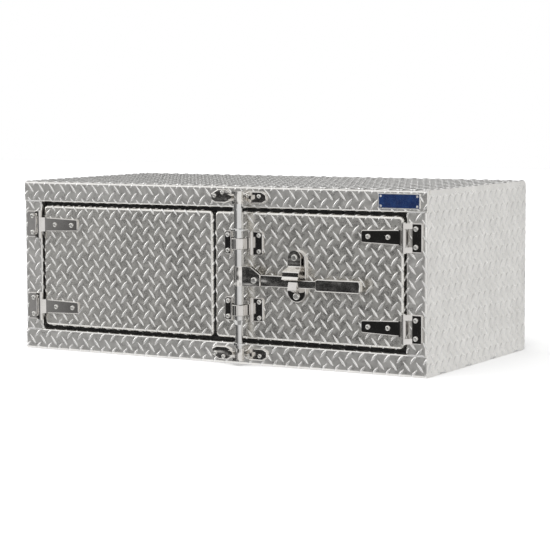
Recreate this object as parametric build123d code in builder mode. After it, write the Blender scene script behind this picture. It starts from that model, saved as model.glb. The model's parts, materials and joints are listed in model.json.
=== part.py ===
"""Double-door tread-plate truck tool box with strap hinges and a cam-action lock rod.

Frame: millimetres, origin at the centre of the box's bottom face, +X to the right when
facing the doors, +Y to the back, +Z up. The doors face -Y.
"""
from build123d import *
import os

os.makedirs("parts", exist_ok=True)

# ---- driving dimensions: the box -------------------------------------------------
WIDTH = 1219.2            # overall, across the folded end hems
DEPTH = 609.6             # front sheet to back sheet
HEIGHT = 457.2
SHEET = 3.2               # tread plate thickness
HEM = 2.0                 # top sheet folded down over each end
HEM_DROP = 11.0
FRONT_BEND = 6.0          # outside bend radii
BACK_BEND = 14.0
OPENING_HALF = 552.5      # door opening, from the centre to each stile
OPENING_LOW = 55.0
OPENING_HIGH = 403.0
JAMB_DEPTH = 29.0         # opening lip, front to back
JAMB_FLANGE = 14.0        # inner flange that carries the seal
LIP_BEND = 4.0

# ---- doors ------------------------------------------------------------------------
CENTRE_GAP = 7.2
SIDE_GAP = 7.5
DOOR_LOW = 66.0
DOOR_HIGH = 393.0
DOOR_CORNER = 12.0
DOOR_BEND = 7.0
PAN_DEPTH = 18.0
LINER = 2.0               # inner door sheet

# ---- hinges -----------------------------------------------------------------------
HINGE_X = 551.0
HINGE_STAND = 10.5        # hinge axis in front of the box front
HINGE_Z = (341.5, 118.0)
PIN_R = 3.0
PIN_FIT = 0.06
BARREL_R = 6.3
BUTT_HIGH = 72.0
KNUCKLE_HIGH = 44.0
BUTT_INNER = 569.0
BUTT_EDGE = 597.5
BUTT_BOLT_X = 580.0
BUTT_BOLT_PITCH = 44.6
LEAF = 5.0
STRAP = 5.0
STRAP_TIP = 430.0
STRAP_BEND = 536.0
STRAP_TIP_HALF = 15.5     # half the strap's height at its tip and at its root
STRAP_ROOT_HALF = 19.0
STRAP_BOLT_X = (449.5, 504.5)
EDGE_ROUND = 2.2          # rounding of the polished plates' front edges

# ---- lock rod ---------------------------------------------------------------------
ROD_X = 92.0
ROD_STAND = 27.2          # rod axis in front of the box front
ROD_R = 12.5
ROD_BORE = 9.5
SPINDLE_R = 10.0
TUBE_LOW = 104.0
TUBE_HIGH = 414.0
CAM_HIGH = 32.0
KEEPER_Z = (430.0, 28.5)
COLLAR_LOW = 346.5        # thrust washer above the upper bearing
COLLAR_HIGH = 5.5
COLLAR_R = 22.0
CONE_TOP = 117.5          # coned collar under the lower bearing
CONE_HIGH = 11.0
CONE_R = 17.5
RING_LOW = (398.0, 53.0)  # rings where the tube and spindle enter the cams
RING_HIGH = 5.0
BRACKET_Z = (313.0, 143.0)
BRACKET_HIGH = 61.0
BRACKET_PLATE = 5.0
WEB_STAND = 14.0          # front edge of the bearing's upstanding web
WEB_CURVE = 3.0
SADDLE_HIGH = 28.0
BUSH_R = 16.0
SADDLE_R = 19.0
RUN_FIT = 0.06
PLATE = 3.0

# ---- handle and catch -------------------------------------------------------------
HANDLE_Z = 221.5
HANDLE_PIVOT_X = 140.0
BAR = 8.0                 # handle bar thickness, centred on the rod axis
HUB_LOW = 205.0
HUB_HIGH = 256.0
HUB_R = 14.5
GRIP_START = 316.0
GRIP_END = 442.0
GRIP_Z = 217.0
CATCH_X = 249.0
CATCH_LOW = 168.0
CATCH_HIGH = 300.0
CATCH_WIDE = 54.0
CATCH_BASE = 8.0
HASP_Z = 282.5            # hasp pivot
HASP_WIDE = 35.5
HASP_STAND = 16.0         # back of the hasp's upper part
HASP_PLATE = 3.0
LIP_STAND = 37.0          # back of the hasp's front lip
LIP_HALF = 23.0
STOP_FRONT = 38.6         # front of the handle's stop block

# ---- fasteners --------------------------------------------------------------------
BOLT_R = 3.1
BOLT_CLEAR = 0.25
HEAD_R = 6.2
HEAD_HIGH = 3.6
NUT_R = 6.0
NUT_HIGH = 4.5
SOCKET_R = 2.8            # hexagon socket in each bolt head
SOCKET_DEEP = 1.6

body_half = WIDTH / 2 - HEM
front_y = -DEPTH / 2
door_outer = OPENING_HALF - SIDE_GAP
door_inner = CENTRE_GAP / 2
door_wide = door_outer - door_inner
door_high = DOOR_HIGH - DOOR_LOW
door_mid_x = (door_outer + door_inner) / 2
door_mid_z = (DOOR_HIGH + DOOR_LOW) / 2
rod_y = front_y - ROD_STAND
hinge_y = front_y - HINGE_STAND


def face(stand):
    """Plane parallel to the box front, standing this far in front of it; drawn in X and Z."""
    return Plane.XZ.offset(DEPTH / 2 + stand)


def save(part, label):
    part.label = label
    export_step(part, f"parts/{label}.step")


def soften(part, radius=EDGE_ROUND):
    """Round the outline of the front face of the plate being built."""
    fillet(part.faces().sort_by(Axis.Y)[0].outer_wire().edges(), radius=radius)


def drill(points, stand, depth, radius=BOLT_R + BOLT_CLEAR):
    """Cut holes straight back from a plane in front of the part being built."""
    with BuildSketch(face(stand)) as holes:
        with Locations(*points):
            Circle(radius)
    extrude(holes.sketch, amount=-depth, mode=Mode.SUBTRACT)


def bolt_group(points, stand, grip, head_r=HEAD_R, head_high=HEAD_HIGH, nut=True):
    """Round-headed bolts whose heads sit on the plane at stand, gripping this much plate."""
    with BuildPart() as bolts:
        with BuildSketch(face(stand)):
            with Locations(*points):
                Circle(head_r)
        extrude(amount=head_high)
        crown = bolts.edges().filter_by(GeomType.CIRCLE).group_by(Axis.Y)[0]
        fillet(crown, radius=head_high * 0.8)
        with BuildSketch(face(stand)):
            with Locations(*points):
                Circle(BOLT_R)
        extrude(amount=-grip)
        with BuildSketch(face(stand - grip)):
            with Locations(*points):
                if nut:
                    RegularPolygon(NUT_R, 6)
                else:
                    Circle(BOLT_R * 1.5)
        extrude(amount=-(NUT_HIGH if nut else NUT_HIGH / 3))
        with BuildSketch(face(stand + head_high)):
            with Locations(*points):
                RegularPolygon(SOCKET_R, 6)
        extrude(amount=-SOCKET_DEEP, mode=Mode.SUBTRACT)
    return bolts.part


# ---- positions that several pieces share --------------------------------------------
butt_bolt_offsets = (BUTT_BOLT_PITCH / 2, -BUTT_BOLT_PITCH / 2)
bracket_left_x = ROD_X - 47.0
bracket_right_x = ROD_X + 46.0
bracket_bolts = [(bracket_left_x, zc + dz) for zc in BRACKET_Z for dz in (20.0, -20.0)]
bracket_bolts += [(bracket_right_x, zc + dz) for zc in BRACKET_Z for dz in (20.5, -20.5)]
catch_bolt = (CATCH_X, CATCH_LOW + 16.0)
keeper_bolt_offsets = ((-86.0, 2.5), (-62.0, 11.0), (14.5, 3.8), (47.0, 3.3))
keeper_bolts = [(ROD_X + dx, KEEPER_Z[0] + dz) for dx, dz in keeper_bolt_offsets]
keeper_bolts += [(ROD_X + dx, KEEPER_Z[1] - dz) for dx, dz in keeper_bolt_offsets]
plate_mid = (533.0, 430.0)
plate_size = (114.0, 38.0)
plate_rivets = [
    (plate_mid[0] + sx * 49.5, plate_mid[1] + sz * 12.0) for sx in (-1, 1) for sz in (-1, 1)
]


def strap_bolts(side):
    return [(side * x, z) for z in HINGE_Z for x in STRAP_BOLT_X]


def butt_bolts(side):
    return [(side * BUTT_BOLT_X, z + dz) for z in HINGE_Z for dz in butt_bolt_offsets]


# ---- the box: one wrapped sheet for top, back, bottom and front rails ---------------
with BuildPart() as body_wrap:
    with BuildSketch(Plane.YZ) as section:
        with Locations((0, HEIGHT / 2)):
            Rectangle(DEPTH, HEIGHT)
        fillet(section.vertices().group_by(Axis.X)[0], radius=FRONT_BEND)
        fillet(section.vertices().group_by(Axis.X)[-1], radius=BACK_BEND)
        offset(amount=-SHEET, mode=Mode.SUBTRACT)
        with Locations((front_y + SHEET, (OPENING_LOW + OPENING_HIGH) / 2)):
            Rectangle(4 * SHEET, OPENING_HIGH - OPENING_LOW, mode=Mode.SUBTRACT)
    extrude(amount=body_half, both=True)
    for edge, inward in ((OPENING_HIGH, 1), (OPENING_LOW, -1)):
        lip_mid = edge + inward * SHEET / 2
        flange_mid = edge - inward * JAMB_FLANGE / 2
        with BuildSketch(Plane.YZ):
            with Locations((front_y + JAMB_DEPTH / 2, lip_mid)):
                Rectangle(JAMB_DEPTH, SHEET)
            with Locations((front_y + JAMB_DEPTH - SHEET / 2, flange_mid)):
                Rectangle(SHEET, JAMB_FLANGE)
        extrude(amount=OPENING_HALF, both=True)
    lip_edges = body_wrap.edges().filter_by(Axis.X).filter_by(
        lambda e: abs(e.center().Y - front_y) < 0.01
        and min(abs(e.center().Z - OPENING_LOW), abs(e.center().Z - OPENING_HIGH)) < 0.01
        and e.length > OPENING_HALF
    )
    fillet(lip_edges, radius=LIP_BEND)
    hem_z = HEIGHT - HEM_DROP / 2
    with BuildSketch(Plane.YZ.offset(body_half)):
        with Locations((0, hem_z)):
            RectangleRounded(DEPTH - 2 * BACK_BEND, HEM_DROP, radius=1.5)
    extrude(amount=HEM)
    with BuildSketch(Plane.YZ.offset(-body_half)):
        with Locations((0, hem_z)):
            RectangleRounded(DEPTH - 2 * BACK_BEND, HEM_DROP, radius=1.5)
    extrude(amount=-HEM)
    drill(keeper_bolts, PLATE, PLATE + 2 * SHEET)
    drill(plate_rivets, PLATE, PLATE + 2 * SHEET, radius=1.8)
save(body_wrap.part, "body_wrap")


def end_panel(side):
    """One end sheet, bent round at the front into the stile and its jamb."""
    with BuildPart() as panel:
        with BuildSketch(Plane.YZ.offset(side * body_half)) as outline:
            with Locations((0, HEIGHT / 2)):
                Rectangle(DEPTH - 2 * SHEET, HEIGHT - 2 * SHEET)
            fillet(outline.vertices().group_by(Axis.X)[0], radius=FRONT_BEND - SHEET)
            fillet(outline.vertices().group_by(Axis.X)[-1], radius=BACK_BEND - SHEET)
        extrude(amount=-side * SHEET)
        stile_wide = body_half - OPENING_HALF
        stile_mid = side * (body_half + OPENING_HALF) / 2
        with BuildSketch(Plane.XY.offset(OPENING_LOW)) as stile:
            with Locations((stile_mid, front_y + SHEET / 2)):
                Rectangle(stile_wide, SHEET)
            with Locations((side * (body_half - SHEET / 2), front_y + SHEET)):
                Rectangle(SHEET, 2 * SHEET)
            with Locations((side * (OPENING_HALF + SHEET / 2), front_y + JAMB_DEPTH / 2)):
                Rectangle(SHEET, JAMB_DEPTH)
            front_corners = stile.vertices().filter_by(lambda v: v.Y < front_y + 0.01)
            fillet(front_corners.sort_by(Axis.X)[0 if side < 0 else -1], radius=FRONT_BEND)
            front_corners = stile.vertices().filter_by(lambda v: v.Y < front_y + 0.01)
            fillet(front_corners.sort_by(Axis.X)[-1 if side < 0 else 0], radius=LIP_BEND)
        extrude(amount=OPENING_HIGH - OPENING_LOW)
        with BuildSketch(Plane.XY.offset(OPENING_LOW + JAMB_FLANGE)):
            flange_x = side * (OPENING_HALF + SHEET / 2 - (JAMB_FLANGE + SHEET) / 2)
            with Locations((flange_x, front_y + JAMB_DEPTH - SHEET / 2)):
                Rectangle(JAMB_FLANGE + SHEET, SHEET)
        extrude(amount=OPENING_HIGH - OPENING_LOW - 2 * JAMB_FLANGE)
        drill(butt_bolts(side), PLATE, PLATE + 2 * SHEET)
    return panel.part


for side, name in ((-1, "left"), (1, "right")):
    save(end_panel(side), f"{name}_end_panel")

# ---- rubber seal on the jamb flanges, just behind the doors ---------------------------
SEAL_THICK = 5.4
seal_front = -(JAMB_DEPTH - SHEET - SEAL_THICK)
with BuildPart() as door_seal:
    with BuildSketch(face(seal_front)):
        with Locations((0, (OPENING_LOW + OPENING_HIGH) / 2)):
            RectangleRounded(2 * OPENING_HALF - 1, OPENING_HIGH - OPENING_LOW - 1, radius=3)
            RectangleRounded(
                2 * (OPENING_HALF - JAMB_FLANGE) + 4,
                OPENING_HIGH - OPENING_LOW - 2 * JAMB_FLANGE + 4,
                radius=6,
                mode=Mode.SUBTRACT,
            )
    extrude(amount=-SEAL_THICK)
    seal_lip = door_seal.edges().group_by(Axis.Y)[0]
    fillet(seal_lip, radius=1.6)
save(door_seal.part, "door_seal")


# ---- hinges ---------------------------------------------------------------------------
def butt(side, zc):
    """Hinge half on the stile: a leaf and two knuckles."""
    with BuildPart() as leaf:
        with BuildSketch(face(0)) as outline:
            with Locations((side * (BUTT_INNER + BUTT_EDGE) / 2, zc)):
                Rectangle(BUTT_EDGE - BUTT_INNER, BUTT_HIGH)
            outer = outline.vertices().sort_by(Axis.X)
            fillet(outer[-2:] if side > 0 else outer[:2], radius=5)
        extrude(amount=LEAF)
        soften(leaf)
        lug_high = (BUTT_HIGH - KNUCKLE_HIGH) / 2 - 0.25
        for low in (zc - BUTT_HIGH / 2, zc + BUTT_HIGH / 2 - lug_high):
            with BuildSketch(Plane.XY.offset(low)):
                with Locations((side * HINGE_X, hinge_y)):
                    Circle(BARREL_R)
                with BuildLine():
                    Polyline(
                        (side * (HINGE_X + 3), hinge_y + 5.5),
                        (side * (HINGE_X + 6), front_y),
                        (side * (BUTT_INNER + EDGE_ROUND), front_y),
                        (side * (BUTT_INNER + EDGE_ROUND), front_y - LEAF),
                        (side * (HINGE_X + 3), hinge_y - 5.5),
                        close=True,
                    )
                make_face()
                with Locations((side * HINGE_X, hinge_y)):
                    Circle(PIN_R + PIN_FIT, mode=Mode.SUBTRACT)
            extrude(amount=lug_high)
        drill([(side * BUTT_BOLT_X, zc + dz) for dz in butt_bolt_offsets], LEAF, LEAF)
    return leaf.part


def strap(side, zc):
    """Hinge half on the door: a tapered strap, an offset bend and the middle knuckle."""
    with BuildPart() as blade:
        tip, root = side * STRAP_TIP, side * (STRAP_BEND + 2)
        with BuildSketch(face(0)) as outline:
            with BuildLine():
                Polyline(
                    (tip, zc - STRAP_TIP_HALF),
                    (root, zc - STRAP_ROOT_HALF),
                    (root, zc + STRAP_ROOT_HALF),
                    (tip, zc + STRAP_TIP_HALF),
                    close=True,
                )
            make_face()
            corners = outline.vertices().sort_by(Axis.X)
            fillet(corners[:2] if side > 0 else corners[-2:], radius=6)
        extrude(amount=STRAP)
        soften(blade)
        with BuildSketch(Plane.XY.offset(zc - STRAP_ROOT_HALF)):
            with BuildLine():
                Polyline(
                    (side * (STRAP_BEND - EDGE_ROUND), front_y),
                    (side * (STRAP_BEND + 4), front_y),
                    (side * (HINGE_X - 4), hinge_y + 4),
                    (side * HINGE_X, hinge_y),
                    (side * (HINGE_X - 4.5), hinge_y - 4),
                    (side * (STRAP_BEND + 2), front_y - STRAP),
                    (side * (STRAP_BEND - EDGE_ROUND), front_y - STRAP),
                    close=True,
                )
            make_face()
        extrude(amount=2 * STRAP_ROOT_HALF)
        with BuildSketch(Plane.XY.offset(zc - KNUCKLE_HIGH / 2 + 0.25)):
            with Locations((side * HINGE_X, hinge_y)):
                Circle(BARREL_R)
        extrude(amount=KNUCKLE_HIGH - 0.5)
        with BuildSketch(Plane.XY.offset(zc - KNUCKLE_HIGH / 2)):
            with Locations((side * HINGE_X, hinge_y)):
                Circle(PIN_R + PIN_FIT)
        extrude(amount=KNUCKLE_HIGH, mode=Mode.SUBTRACT)
        drill([(side * x, zc) for x in STRAP_BOLT_X], STRAP, STRAP)
    return blade.part


for side, name in ((-1, "left"), (1, "right")):
    for zc, level in zip(HINGE_Z, ("upper", "lower")):
        save(butt(side, zc), f"{name}_{level}_butt")
        save(strap(side, zc), f"{name}_{level}_strap")

with BuildPart() as hinge_pins:
    for side in (-1, 1):
        for zc in HINGE_Z:
            for low, high, radius in (
                (zc - BUTT_HIGH / 2 - 2, zc + BUTT_HIGH / 2 + 2, PIN_R),
                (zc - BUTT_HIGH / 2 - 2, zc - BUTT_HIGH / 2 - 0.3, PIN_R + 2),
                (zc + BUTT_HIGH / 2 + 0.3, zc + BUTT_HIGH / 2 + 2, PIN_R + 2),
            ):
                with BuildSketch(Plane.XY.offset(low)):
                    with Locations((side * HINGE_X, hinge_y)):
                        Circle(radius)
                extrude(amount=high - low)
save(hinge_pins.part, "hinge_pins")

save(bolt_group(butt_bolts(-1) + butt_bolts(1), LEAF, LEAF + SHEET), "butt_bolts")


# ---- doors ----------------------------------------------------------------------------
def door_pan(side, holes, rivet_holes):
    """Tread-plate outer skin with returned edges."""
    with BuildPart() as pan:
        with BuildSketch(face(0)):
            with Locations((side * door_mid_x, door_mid_z)):
                RectangleRounded(door_wide, door_high, radius=DOOR_CORNER)
        extrude(amount=-PAN_DEPTH)
        fillet(pan.edges().group_by(Axis.Y)[0], radius=DOOR_BEND)
        with BuildSketch(face(-SHEET)):
            with Locations((side * door_mid_x, door_mid_z)):
                RectangleRounded(
                    door_wide - 2 * SHEET, door_high - 2 * SHEET, radius=DOOR_CORNER - SHEET
                )
        extrude(amount=-(PAN_DEPTH - SHEET), mode=Mode.SUBTRACT)
        drill(holes, 1, 1 + SHEET)
        if rivet_holes:
            drill(rivet_holes, 1, 1 + SHEET, radius=4.2)
    return pan.part


def door_liner(side):
    """Flat inner sheet that closes the back of a door."""
    with BuildPart() as liner:
        with BuildSketch(face(-PAN_DEPTH)):
            with Locations((side * door_mid_x, door_mid_z)):
                RectangleRounded(door_wide - 1, door_high - 1, radius=DOOR_CORNER)
        extrude(amount=-LINER)
    return liner.part


lock_holes = bracket_bolts + [catch_bolt]
save(door_pan(-1, strap_bolts(-1), []), "left_door_skin")
save(door_pan(1, strap_bolts(1) + lock_holes, [(CATCH_X, HASP_Z)]), "right_door_skin")
for side, name in ((-1, "left"), (1, "right")):
    save(door_liner(side), f"{name}_door_liner")
    save(bolt_group(strap_bolts(side), STRAP, STRAP + SHEET), f"{name}_strap_bolts")

CENTRE_SEAL_WIDE = 3.6
with BuildPart() as centre_seal:
    with BuildSketch(face(-6.0)):
        with Locations((-door_inner + CENTRE_SEAL_WIDE / 2, door_mid_z)):
            Rectangle(CENTRE_SEAL_WIDE, door_high - 2 * DOOR_CORNER)
    extrude(amount=-11.0)
    seal_nose = centre_seal.edges().filter_by(Axis.Z).group_by(Axis.X)[-1]
    fillet(seal_nose, radius=1.2)
save(centre_seal.part, "centre_seal")


# ---- keepers on the rails -------------------------------------------------------------
WING_LEFT = ((-97, -9), (-97, 7), (-76, 19), (-52, 19), (-24, 5), (-24, -5), (-54, -16), (-84, -16))
WING_RIGHT = ((4, -9), (4, 9), (16, 15.5), (54, 15.5), (69, 7), (69, -9), (56, -16), (20, -16))
WING_BASE = 6.0
WING_ROUND = 3.2


def keeper(zc, flip):
    """Butterfly keeper: two wings bolted to the rail, with raised ears either side of the cam."""
    with BuildPart() as plate:
        for wing in (WING_LEFT, WING_RIGHT):
            with BuildSketch(face(0)) as outline:
                with BuildLine():
                    Polyline([(ROD_X + dx, zc + flip * dz) for dx, dz in wing], close=True)
                make_face()
                fillet(outline.vertices(), radius=3)
            extrude(amount=WING_BASE)
            front = plate.faces().group_by(Axis.Y)[0]
            near_wing = front.sort_by(Axis.X)[0 if wing is WING_LEFT else -1]
            fillet(near_wing.outer_wire().edges(), radius=WING_ROUND)
        with BuildSketch(face(0)):
            with Locations((ROD_X - 4, zc)):
                Rectangle(44, 12)
        extrude(amount=PLATE)
        for inner, outer, half, stand in ((-24.5, -42, 9.0, 20.0), (21.5, 31, 6.5, 16.0)):
            with BuildSketch(face(WING_BASE)) as ear:
                with BuildLine():
                    Polyline(
                        (ROD_X + inner, zc - 4.5),
                        (ROD_X + inner, zc + 4.5),
                        (ROD_X + outer * 0.72 + inner * 0.28, zc + half),
                        (ROD_X + outer, zc + half),
                        (ROD_X + outer, zc - half),
                        (ROD_X + outer * 0.72 + inner * 0.28, zc - half),
                        close=True,
                    )
                make_face()
                fillet(ear.vertices(), radius=2)
            extrude(amount=stand - WING_BASE, taper=8)
        drill([(ROD_X + dx, zc + flip * dz) for dx, dz in keeper_bolt_offsets], WING_BASE, WING_BASE)
    return plate.part


save(keeper(KEEPER_Z[0], 1), "top_keeper")
save(keeper(KEEPER_Z[1], -1), "bottom_keeper")
save(bolt_group(keeper_bolts, WING_BASE, WING_BASE + SHEET, head_r=5.2, head_high=3.2), "keeper_bolts")

# ---- blank nameplate ------------------------------------------------------------------
PLATE_RIM = 2.2
PLATE_FIELD = 2.1
PLATE_FRAME = 2.7
field_size = (plate_size[0] - 2 * PLATE_RIM, plate_size[1] - 2 * PLATE_RIM)
with BuildPart() as nameplate:
    with BuildSketch(face(0)):
        with Locations(plate_mid):
            RectangleRounded(*field_size, radius=2)
    extrude(amount=PLATE_FIELD)
    drill(plate_rivets, PLATE_FIELD, PLATE_FIELD, radius=1.8)
save(nameplate.part, "nameplate")
with BuildPart() as nameplate_frame:
    with BuildSketch(face(0)):
        with Locations(plate_mid):
            RectangleRounded(*plate_size, radius=3)
            RectangleRounded(*field_size, radius=2, mode=Mode.SUBTRACT)
    extrude(amount=PLATE_FRAME)
    soften(nameplate_frame, 0.8)
save(nameplate_frame.part, "nameplate_frame")
with BuildPart() as nameplate_rivets:
    with BuildSketch(face(PLATE_FIELD)):
        with Locations(*plate_rivets):
            Circle(3.0)
    extrude(amount=1.4)
    fillet(nameplate_rivets.edges().group_by(Axis.Y)[0], radius=1.1)
    with BuildSketch(face(PLATE_FIELD)):
        with Locations(*plate_rivets):
            Circle(1.6)
    extrude(amount=-(PLATE_FIELD + SHEET + 1.0))
save(nameplate_rivets.part, "nameplate_rivets")


# ---- rod bearings on the right door -----------------------------------------------------
def bracket_base(zc):
    """Bearing base: two bolted flanges, a strap behind the rod and an upstanding web."""
    with BuildPart() as base:
        for left, right in ((-57.0, -36.5), (21.0, 57.0)):
            with BuildSketch(face(0)) as outline:
                with Locations((ROD_X + (left + right) / 2, zc)):
                    Rectangle(right - left, BRACKET_HIGH)
                corners = outline.vertices().sort_by(Axis.X)
                fillet(corners[:2] if left < 0 else corners[-2:], radius=7)
            extrude(amount=BRACKET_PLATE)
            flange = base.faces().group_by(Axis.Y)[0].sort_by(Axis.X)[0 if left < 0 else -1]
            fillet(flange.outer_wire().edges(), radius=EDGE_ROUND)
        with BuildSketch(face(0)):
            with Locations((ROD_X - 8, zc)):
                Rectangle(62, SADDLE_HIGH)
        extrude(amount=PLATE)
        with BuildSketch(Plane.XY.offset(zc - BRACKET_HIGH / 2)):
            web_in = ROD_X + 21
            web_out = web_in + PLATE
            foot = front_y - BRACKET_PLATE
            curve_mid = WEB_CURVE * (1 - 0.5**0.5)
            with BuildLine():
                Polyline((web_out + WEB_CURVE, foot), (web_out + WEB_CURVE, front_y), (web_in, front_y))
                Polyline(
                    (web_in, front_y),
                    (web_in, front_y - WEB_STAND),
                    (web_out, front_y - WEB_STAND),
                    (web_out, foot - WEB_CURVE),
                )
                ThreePointArc(
                    (web_out, foot - WEB_CURVE),
                    (web_out + curve_mid, foot - curve_mid),
                    (web_out + WEB_CURVE, foot),
                )
            make_face()
        extrude(amount=BRACKET_HIGH)
        own = [p for p in bracket_bolts if abs(p[1] - zc) < BRACKET_HIGH]
        drill(own, BRACKET_PLATE, BRACKET_PLATE)
    return base.part


def saddle(zc):
    """U strap that holds the bush against the bearing base."""
    with BuildPart() as loop:
        leg = ROD_STAND - PLATE
        with BuildSketch(Plane.XY.offset(zc - SADDLE_HIGH / 2)):
            with Locations((ROD_X, rod_y)):
                Circle(SADDLE_R)
            with Locations((ROD_X, rod_y + leg / 2)):
                Rectangle(2 * SADDLE_R, leg)
            with Locations((ROD_X, rod_y)):
                Circle(BUSH_R, mode=Mode.SUBTRACT)
            with Locations((ROD_X, rod_y + leg / 2)):
                Rectangle(2 * BUSH_R, leg, mode=Mode.SUBTRACT)
        extrude(amount=SADDLE_HIGH)
        for end in (0, -1):
            rim = loop.edges().group_by(Axis.Z)[end].filter_by(GeomType.CIRCLE)
            fillet(rim.sort_by(SortBy.RADIUS)[-1], radius=1.4)
    return loop.part


def bush(zc):
    """Bearing block round the rod, flat at the back where it sits on the base."""
    with BuildPart() as block:
        leg = ROD_STAND - PLATE
        with BuildSketch(Plane.XY.offset(zc - SADDLE_HIGH / 2 + 1)):
            with Locations((ROD_X, rod_y)):
                Circle(BUSH_R - 0.1)
            with Locations((ROD_X, rod_y + leg / 2)):
                Rectangle(2 * BUSH_R - 0.2, leg)
            with Locations((ROD_X, rod_y)):
                Circle(ROD_R + RUN_FIT, mode=Mode.SUBTRACT)
        extrude(amount=SADDLE_HIGH - 2)
    return block.part


for zc, level in zip(BRACKET_Z, ("upper", "lower")):
    save(bracket_base(zc), f"{level}_bearing_base")
    save(saddle(zc), f"{level}_bearing_saddle")
    save(bush(zc), f"{level}_bearing_bush")
save(
    bolt_group(bracket_bolts, BRACKET_PLATE, BRACKET_PLATE + SHEET, head_r=6.0),
    "bearing_bolts",
)

# ---- lock rod ---------------------------------------------------------------------------
with BuildPart() as rod_tube:
    with BuildSketch(Plane.XY.offset(TUBE_LOW)):
        with Locations((ROD_X, rod_y)):
            Circle(ROD_R)
            Circle(ROD_BORE, mode=Mode.SUBTRACT)
    extrude(amount=TUBE_HIGH - TUBE_LOW)
save(rod_tube.part, "rod_tube")

cam_low_top = KEEPER_Z[1] + CAM_HIGH / 2
with BuildPart() as lower_spindle:
    with BuildSketch(Plane.XY.offset(cam_low_top)):
        with Locations((ROD_X, rod_y)):
            Circle(SPINDLE_R)
    extrude(amount=TUBE_LOW - cam_low_top)
    with BuildSketch(Plane.XY.offset(TUBE_LOW)):
        with Locations((ROD_X, rod_y)):
            Circle(ROD_BORE - 0.1)
    extrude(amount=22)
save(lower_spindle.part, "lower_spindle")


def cam(zc, stem):
    """Cam with two jaws that reach either side of the keeper's left ear tip."""
    with BuildPart() as block:
        low = zc - CAM_HIGH / 2
        with BuildSketch(Plane.XY.offset(low)):
            with Locations((ROD_X, rod_y)):
                Circle(ROD_R - 0.5)
        extrude(amount=CAM_HIGH)
        for jaw in (low, low + CAM_HIGH - 7):
            with BuildSketch(Plane.XY.offset(jaw)) as shape:
                with Locations((ROD_X - 5, rod_y)):
                    Rectangle(26, 15)
                fillet(shape.vertices(), radius=3)
            extrude(amount=7)
        if stem:
            with BuildSketch(Plane.XY.offset(TUBE_HIGH - 20)):
                with Locations((ROD_X, rod_y)):
                    Circle(ROD_BORE - 0.1)
            extrude(amount=21)
    return block.part


save(cam(KEEPER_Z[0], True), "top_cam")
save(cam(KEEPER_Z[1], False), "bottom_cam")

with BuildPart() as upper_collar:
    with BuildSketch(Plane.XY.offset(COLLAR_LOW)):
        with Locations((ROD_X, rod_y)):
            Circle(COLLAR_R)
            Circle(ROD_R + RUN_FIT, mode=Mode.SUBTRACT)
    extrude(amount=COLLAR_HIGH)
    fillet(upper_collar.edges().group_by(Axis.Z)[-1].sort_by(SortBy.LENGTH)[-1], radius=2)
save(upper_collar.part, "upper_collar")

with BuildPart() as lower_collar:
    with BuildSketch(Plane.XY.offset(CONE_TOP)):
        with Locations((ROD_X, rod_y)):
            Circle(CONE_R)
    extrude(amount=-CONE_HIGH, taper=22)
    with BuildSketch(Plane.XY.offset(TUBE_LOW)):
        with Locations((ROD_X, rod_y)):
            Circle(ROD_R + RUN_FIT)
    extrude(amount=20, mode=Mode.SUBTRACT)
save(lower_collar.part, "lower_collar")

with BuildPart() as socket_rings:
    for low, bore in zip(RING_LOW, (ROD_R + RUN_FIT, SPINDLE_R + RUN_FIT)):
        with BuildSketch(Plane.XY.offset(low)):
            with Locations((ROD_X, rod_y)):
                Circle(ROD_R + 2.3)
                Circle(bore, mode=Mode.SUBTRACT)
        extrude(amount=RING_HIGH)
save(socket_rings.part, "socket_rings")

CHEEK_REACH = 65.0        # how far the clevis cheeks reach from the rod axis
CHEEK_TIP = 31.5
CHEEK_SLOPE = 37.0        # where their top edge begins to fall
PIVOT_R = 5.0
cheek = BAR / 2 + 0.2     # inner face of each clevis cheek, from the rod axis
with BuildPart() as hub_clevis:
    with BuildSketch(Plane.XY.offset(HUB_LOW)):
        with Locations((ROD_X, rod_y)):
            Circle(HUB_R)
    extrude(amount=HUB_HIGH - HUB_LOW)
    for near in (ROD_STAND + cheek, ROD_STAND - cheek - PLATE):
        with BuildSketch(face(near)) as cheek_plate:
            with BuildLine():
                Polyline(
                    (ROD_X + 2, HUB_LOW),
                    (ROD_X + CHEEK_REACH, HUB_LOW + 1),
                    (ROD_X + CHEEK_REACH, HUB_LOW + CHEEK_TIP),
                    (ROD_X + CHEEK_SLOPE, HUB_HIGH),
                    (ROD_X + 2, HUB_HIGH),
                    close=True,
                )
            make_face()
            fillet(cheek_plate.vertices().sort_by(Axis.X)[-3:], radius=2)
        extrude(amount=PLATE)
        if near > ROD_STAND:
            soften(hub_clevis, 1.3)
        drill([(HANDLE_PIVOT_X, HANDLE_Z)], near + PLATE, PLATE, radius=PIVOT_R + PIN_FIT)
    with BuildSketch(Plane.XY.offset(HUB_LOW - 1)):
        with Locations((ROD_X, rod_y)):
            Circle(ROD_R + RUN_FIT)
    extrude(amount=HUB_HIGH - HUB_LOW + 2, mode=Mode.SUBTRACT)
save(hub_clevis.part, "hub_clevis")

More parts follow.
